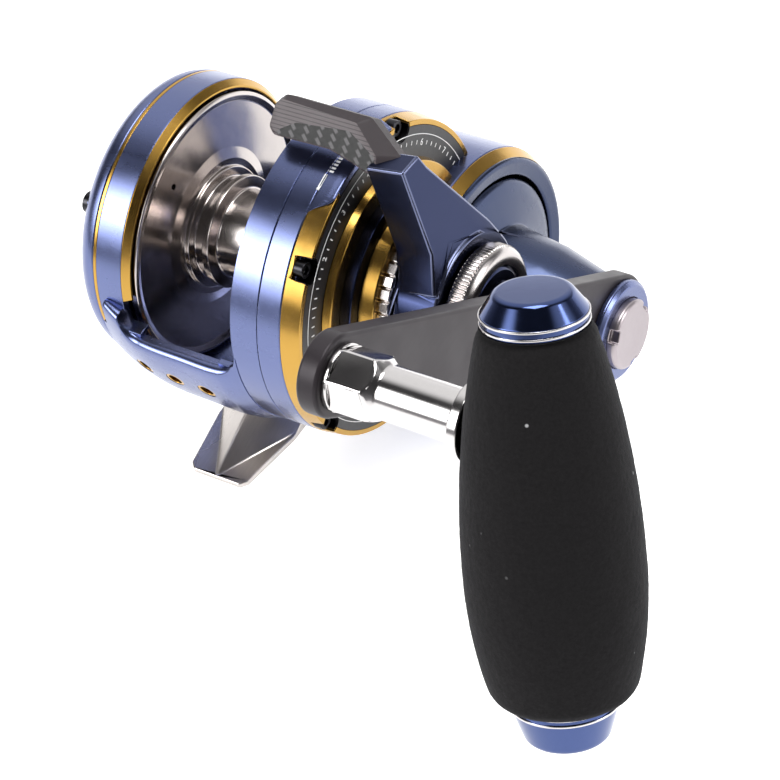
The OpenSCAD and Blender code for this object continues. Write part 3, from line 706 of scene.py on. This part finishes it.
def cap_screws():
    """Socket screws sunk in the side plate's pockets, and black sheets on the pocket walls that paint the shade
    inside the pockets.
    """
    low = pocket_floor_x + 0.03
    head = [(0, 29), (0.95, 29), (0.95, 29.9), (1.75, 29.9), (1.75, pocket_floor_x),
            (0, pocket_floor_x)]
    shade_sheet_profile = [(2.6, low), (2.88, low), (2.88, 30.9), (2.6, 30.9)]
    for i, at in enumerate(cap_screw_at):
        place = on_spool(at, cap_screw_ring, 0)
        screw = lathe(f"cap_screw_{i}", rounded(head, 0.15, closed=False), place,
                      "black_screw", steps=48, closed=False)
        place_piece(screw, "side_plate_screws")
        # Black sheet round the pocket's wall: painted shade inside the pocket, not a part of the reel.
        shade_sheet = lathe(f"pocket_shade_sheet_{i}", shade_sheet_profile, place, "black_screw", 75, 285, steps=96)
        place_piece(shade_sheet, "side_plate_screws")


# ---- markings: bars and numerals only ----

def flat_bar(bm, place, width, length):
    """Adds a thin printed bar that lies in the local XY plane of a place."""
    height = 0.05
    corners = [(-1, -1), (1, -1), (1, 1), (-1, 1)]
    low, high = (
        [bm.verts.new(place @ Vector((x * length / 2 * MM, y * width / 2 * MM, z * MM)))
         for x, y in corners]
        for z in (-height, height)
    )
    bm.faces.new(high)
    bm.faces.new(low[::-1])
    bridge(bm, low, high)


def add_numeral(bm, text, size, place):
    """Adds a printed numeral, centred on a place and lying in its local XY plane."""
    curve = bpy.data.curves.new("numeral", "FONT")
    curve.body = text
    curve.size = size * MM
    curve.align_x, curve.align_y = "CENTER", "CENTER"
    curve.extrude = 0.04 * MM
    holder = bpy.data.objects.new("numeral", curve)
    bpy.context.scene.collection.objects.link(holder)
    bpy.context.view_layer.update()
    mesh = bpy.data.meshes.new_from_object(
        holder.evaluated_get(bpy.context.evaluated_depsgraph_get())
    )
    mesh.transform(place)
    bm.from_mesh(mesh)
    bpy.data.objects.remove(holder)
    bpy.data.meshes.remove(mesh)


def dial_marks():
    """A scale of bars on the dial, with a numeral at every fifth step and a thin line round it."""
    first_at, step, count, every = 8, 4, 43, 5
    scale_radius = 29.5
    line_radius, line_width = 31.2, 0.18
    face = dial_x + 0.01
    bm = bmesh.new()
    for i in range(count):
        place = on_spool(first_at + i * step, scale_radius, face)
        if i % every:
            flat_bar(bm, place, 0.24, 0.9)
        else:
            add_numeral(bm, str(8 - i // every), 2.1, place @ turn(-90, "Z"))
    marks = new_object("dial_marks", bm, "mark_white", weighted=False)
    place_piece(marks, "dial_plate", hides=False)
    ends = (line_radius, line_radius + line_width)
    profile = [(r, face - 0.05) for r in ends] + [(r, face + 0.04) for r in ends[::-1]]
    line = lathe("dial_line", profile, SPOOL, "mark_white", start=-2, stop=250)
    place_piece(line, "dial_plate", hides=False)


# ---- spool ----

def spool():
    """Polished spool: dished flanges with bright lips and a stepped hub."""
    left, right = span("spool")
    profile = [
        (8, -15, 0), (27, -15), (28, left, 0.2), (29.66, left, 0.3), (29.66, -13.9, 0.3),
        (28.9, -13.5, 0.3), (27.6, -14.1, 0.8), (17.6, -13.5, 1.5), (15.2, -12.9, 0.4),
        (13.6, -12.9, 0.2), (13.6, -11.9, 0.3), (11.4, -11.9, 0.4), (11.4, -9.4, 0.3),
        (12.6, -9.2, 0.3), (12.6, -7.6, 0.3), (9.8, -7.3, 0.6), (9.8, 5.8, 0.6), (12.6, 6.1, 0.3),
        (12.6, 7.9, 0.3), (11.4, 8.1, 0.3), (11.4, 10.4, 0.4), (13.6, 10.4, 0.3),
        (13.6, 11.4, 0.2), (15.2, 11.4, 0.4), (17.6, 12.0, 1.5), (27.6, 12.6, 0.8),
        (28.9, 12.0, 0.3), (29.66, 12.4, 0.3), (29.66, right, 0.3), (26.6, right, 0.2),
        (26.6, 13.1, 0.2), (8, 13.1, 0),
    ]
    piece = lathe("spool_body", rounded(profile, 0.4), SPOOL, "spool_alloy", steps=288)
    line_hole_at, line_hole_distance = 115, 22
    carve(piece, [round_cutter(on_spool(line_hole_at, line_hole_distance, 0), 0.7, -20, -10)])
    place_piece(piece, "spool")


# ---- lever, paddle and preset knob ----

def lever():
    """The drag lever with bright edges, and its carbon paddle, which stands off on a slant."""
    finished("drag_lever", 0.55, edge_look="bright_edge")
    outline = [
        (12, -3.4), (13.6, -4.9), (27, -4.6), (33, -6), (38, -7.4),
        (43.2, -6.4), (43, -2.4), (34, 3.8), (13.4, 3.8), (12, 2.4),
    ]
    strip = [
        (12.15, -3.3), (13.7, -4.75), (27, -4.45), (33, -5.85), (36.8, -7),
        (38.6, -6.5), (38.2, -3.4), (31.8, 2.1), (13.9, 2.7), (12.4, 1.7),
    ]
    face = [
        (13.9, -4.1), (14.4, -4.55), (27, -4.3), (33, -5.7), (36.4, -6.7),
        (38.1, -6.2), (37.6, -3.7), (30.5, 0.1), (18, -1.2), (14.6, -3.3),
    ]
    levels = [(outline, -2.5), (outline, 0.7), (strip, 2.5), (face, 2.2)]
    carbon, edge, layers = range(3)
    sharp = 24
    bm = bmesh.new()
    rings = [
        [bm.verts.new((x * MM, y * MM, z * MM)) for x, y in rounded(points, 1.4, steps=6)]
        for points, z in levels
    ]
    bm.faces.new(rings[0][::-1]).material_index = edge
    bm.faces.new(rings[-1]).material_index = carbon
    for low, high, look in zip(rings, rings[1:], (edge, edge, layers)):
        for side in bridge(bm, low, high):
            side.material_index = look
    paddle = new_object("paddle", bm, "paddle_carbon", sharp, weighted=False)
    for look in ("paddle_rim", "paddle_layers"):
        paddle.data.materials.append(looks[look])
    break_edges(paddle, 0.3, 3, sharp)
    paddle.modifiers.new("even shading", "WEIGHTED_NORMAL").keep_sharp = True
    paddle_distance, paddle_sink, paddle_slant = 40.97, 3.8, -50
    paddle.matrix_world = (
        SPOOL @ along_x((0, 0)).inverted() @ turn(lever_at, "X")
        @ Matrix.Translation((0, paddle_distance * MM, -paddle_sink * MM))
        @ turn(paddle_slant, "X")
    )
    place_piece(paddle, "lever_paddle")


def preset_knob():
    """Knurled knob: fine straight flutes between plain chamfers, and a blue-black cap."""
    radius, flutes, depth = 13.8, 90, 0.42
    cap_seat_x = 55.4
    start, stop = preset_x + 0.6, preset_end_x - 1.6

    def fluted(r, z, a):
        if r < radius - 0.6 or not start - 0.01 < z < stop + 0.01:
            return r
        return r - depth * (0.5 - 0.5 * math.cos(flutes * a)) ** 0.7

    low, high = preset_x, preset_end_x
    profile = [
        (3.04, low), (12.7, low), (13.2, low + 0.3), (radius - 0.45, start - 0.05),
        (radius - 0.1, start), (radius, start + 0.3), (radius, stop - 0.3), (radius - 0.1, stop),
        (radius - 0.45, stop + 0.05), (radius - 0.35, stop + 0.3), (radius - 0.55, stop + 0.7),
        (12.5, high - 0.25), (12.1, high - 0.05), (11.8, high), (10.3, high), (9.95, high - 0.15),
        (9.9, high - 0.4), (9.9, cap_seat_x), (3.04, cap_seat_x),
    ]
    piece = lathe("preset_knob_body", profile, SPOOL, "knurled_silver", steps=720, shape=fluted)
    place_piece(piece, "preset_knob")
    cap = [(4.2, cap_seat_x, 0), (9.85, cap_seat_x, 0), (9.85, 56.0, 0.2), (8.9, 56.6, 0.3),
           (6.6, 56.6, 0.2), (6.1, 56.2, 0.2), (4.2, 56.2, 0)]
    place_piece(lathe("preset_knob_cap", rounded(cap, 0.2), SPOOL, "navy_anodize"), "preset_cap")


# ---- handle ----

def handle():
    """The arm, what holds it on, and the post at its far end."""
    finished("handle_arm", 0.7, segments=4)
    finished("hub_ring", 0.25)
    finished("handle_nut", 0.3, "hub_silver")
    finished("grip_post", 0.3)
    finished("post_nut", 0.2)


# The grip along its own axis: the foam's ends and its fullest place, and the caps' ends.
foam_top, foam_low = 24.4, -48.4
belly_z, belly_radius = -24, 16.6
grip_upper, grip_lower = 30.5, 57.7


def foam_radius(z):
    """The foam's radius, which falls off faster below its fullest place than above it."""
    return belly_radius - (0.00275 if z > belly_z else 0.0053) * (z - belly_z) ** 2


def grip():
    """Swelling foam grip with soft shoulders, slightly uneven like cut foam."""
    shoulder = 2.6
    rows = 170
    skin = []
    for i in range(rows + 1):
        z = foam_low + (foam_top - foam_low) * i / rows
        end = min(z - foam_low, foam_top - z)
        dip = 0.0
        if end < shoulder:
            dip = shoulder - math.sqrt(shoulder ** 2 - (shoulder - end) ** 2)
        skin.append((foam_radius(z) - dip, z))
    core_radius, low_rim, top_rim = 8.05, 10.6, 9.9
    profile = [(core_radius, foam_low), (low_rim, foam_low)] + skin[1:-1]
    profile += [(top_rim, foam_top), (core_radius, foam_top)]

    def uneven(r, z, a):
        if r < 9:
            return r
        spot = Vector((r * math.cos(a), r * math.sin(a), z))
        return r + 0.07 * noise.noise(spot * 0.22) + 0.05 * noise.noise(spot * 1.1) - 0.06

    foam = lathe("grip_foam_body", profile, GRIP, "grip_foam", steps=360, shape=uneven)
    collar_bore, post_bore = 8, 6.3
    bore_x, collar_end_x = 90, 99
    bore = [
        (0, bore_x), (collar_bore, bore_x), (collar_bore, collar_end_x),
        (post_bore, collar_end_x), (post_bore, grip_x), (0, grip_x),
    ]
    carve(foam, [lathe("bore", bore, POST, "grip_foam", steps=64, closed=False)])
    place_piece(foam, "foam_grip")

    top = [(0, grip_upper), (6.9, grip_upper, 1.7), (9.5, foam_top + 2.4, 0.3), (9.5, foam_top)]
    low = [(0, -grip_lower), (7.9, -grip_lower, 2.0), (10.1, foam_low - 2.2, 0.3), (10.1, foam_low)]
    for name, profile in (("grip_top_cap", top), ("grip_bottom_cap", low)):
        curve = rounded(profile, 0.3, closed=False, steps=10) + [Vector((0, profile[-1][1]))]
        place_piece(lathe(name + "_piece", curve, GRIP, "cap_anodize", closed=False), name)

    rings = [(9.78, foam_top + 0.4), (9.78, foam_top + 1.8), (10.38, foam_low - 0.85),
             (10.38, foam_low - 2.1)]
    for i, (radius, z) in enumerate(rings):
        profile = [(radius - 0.3, z), (radius, z), (radius, z + 0.45), (radius - 0.3, z + 0.45)]
        ring = lathe(f"grip_ring_{i}", rounded(profile, 0.12), GRIP, "polished_steel")
        place_piece(ring, "grip_rings")


# ---- looks of the CAD nodes ----

def finish_cad_nodes():
    """Gives every CAD node, shown or not, the material of its slot."""
    for name, node in frame["nodes"].items():
        node.data.materials.clear()
        node.data.materials.append(looks[slot_of_node(name)])


# ---- camera, floor and light ----

# The camera's place, its sideways axis and the axis that points back from the reel.
camera_place = (0.3328, -0.3365, 0.4785)
camera_right = (0.838, 0.515, -0.183)
camera_back = (0.469, -0.508, 0.722)
focal_length = 138.46


def camera():
    """Long lens at the photograph's viewpoint."""
    data = bpy.data.cameras.new("camera")
    data.sensor_width = 36
    data.lens = focal_length
    data.clip_start = 0.05
    data.clip_end = 20
    obj = bpy.data.objects.new("camera", data)
    bpy.context.scene.collection.objects.link(obj)
    right = Vector(camera_right).normalized()
    back = Vector(camera_back).normalized()
    up = back.cross(right).normalized()
    right = up.cross(back)
    axes = Matrix((right, up, back)).transposed().to_4x4()
    obj.matrix_world = Matrix.Translation(camera_place) @ axes
    bpy.context.scene.camera = obj


def floor():
    """Wide seamless table just under the lowest point of the reel."""
    bm = bmesh.new()
    half = 4.0
    gap = 0.0008
    level = cad_box[0].z - gap
    corners = [(-half, -half), (half, -half), (half, half), (-half, half)]
    bm.faces.new([bm.verts.new((x, y, level)) for x, y in corners])
    mesh = bpy.data.meshes.new("floor")
    bm.to_mesh(mesh)
    bm.free()
    finish = Finish(
        "floor_paper", Roughness=0.6, Specular_IOR_Level=0.2, Emission_Strength=0.55
    )
    finish.shader.inputs["Emission Color"].default_value = (1, 1, 1, 1)
    tone = finish.noise(finish.object_place(), 30, 3)
    finish.set("Base Color", finish.mix(tone, (0.9, 0.9, 0.905, 1), (0.92, 0.92, 0.92, 1)))
    mesh.materials.append(finish.material)
    obj = bpy.data.objects.new("floor", mesh)
    bpy.context.scene.collection.objects.link(obj)


def softbox(name, position, size, power):
    """Rectangular light that faces the reel. Metres and watts."""
    data = bpy.data.lights.new(name, "AREA")
    data.shape = "RECTANGLE"
    data.size, data.size_y = size
    data.energy = power
    obj = bpy.data.objects.new(name, data)
    bpy.context.scene.collection.objects.link(obj)
    obj.location = position
    aim = Vector((0.03, 0, 0.03)) - Vector(position)
    obj.rotation_mode = "QUATERNION"
    obj.rotation_quaternion = aim.to_track_quat("-Z", "Y")


# Brightness of the surroundings: stops of [height, level], and glows of [direction, how closely
# a ray has to point along it for the glow to begin and to be full, level].
sky = [(0.0, 0.5), (0.12, 0.25), (0.35, 0.09), (0.7, 0.05), (1.0, 0.05)]
glows = [
    ((-0.35, 0.72, 0.6), 0.62, 0.95, 1.1),
    ((-0.469, -0.685, 0.557), 0.9, 0.985, 6),
    ((0.85, 0.35, 0.4), 0.85, 0.97, 1),
]


def surroundings():
    """Dark room with a pale horizon and three broad glows, which the metals reflect."""
    world = bpy.data.worlds.new("tent")
    world.use_nodes = True
    tree = world.node_tree
    background = tree.nodes["Background"]
    place = tree.nodes.new("ShaderNodeTexCoord").outputs["Generated"]
    split = tree.nodes.new("ShaderNodeSeparateXYZ")
    tree.links.new(place, split.inputs[0])
    ramp = tree.nodes.new("ShaderNodeValToRGB")
    tree.links.new(split.outputs[2], ramp.inputs[0])
    while len(ramp.color_ramp.elements) < len(sky):
        ramp.color_ramp.elements.new(0.5)
    for element, (at, level) in zip(ramp.color_ramp.elements, sky):
        element.position = at
        element.color = (level, level * 0.98, level * 1.02, 1)
    total = ramp.outputs[0]
    for direction, low, high, level in glows:
        dot = tree.nodes.new("ShaderNodeVectorMath")
        dot.operation = "DOT_PRODUCT"
        tree.links.new(place, dot.inputs[0])
        dot.inputs[1].default_value = Vector(direction).normalized()
        part = tree.nodes.new("ShaderNodeMapRange")
        part.interpolation_type = "SMOOTHSTEP"
        tree.links.new(dot.outputs["Value"], part.inputs[0])
        for socket, value in zip(part.inputs[1:5], (low, high, 0.0, level)):
            socket.default_value = value
        plus = tree.nodes.new("ShaderNodeVectorMath")
        plus.operation = "ADD"
        tree.links.new(total, plus.inputs[0])
        tree.links.new(part.outputs[0], plus.inputs[1])
        total = plus.outputs[0]
    tree.links.new(total, background.inputs["Color"])
    background.inputs["Strength"].default_value = 1.0
    bpy.context.scene.world = world


def lighting():
    """Surroundings and three softboxes."""
    surroundings()
    softbox("roof", (0.1, 0.25, 1.2), (0.6, 0.6), 9)
    softbox("left box", (-0.6, -0.8, 0.7), (0.3, 0.4), 3)
    softbox("right box", (0.8, 0.3, 0.4), (0.3, 0.4), 2.5)


bpy.context.scene.view_settings.view_transform = "Standard"

camera()
frame_and_covers()
dial_marks()
spool()
lever()
preset_knob()
handle()
grip()
finish_cad_nodes()
floor()
lighting()
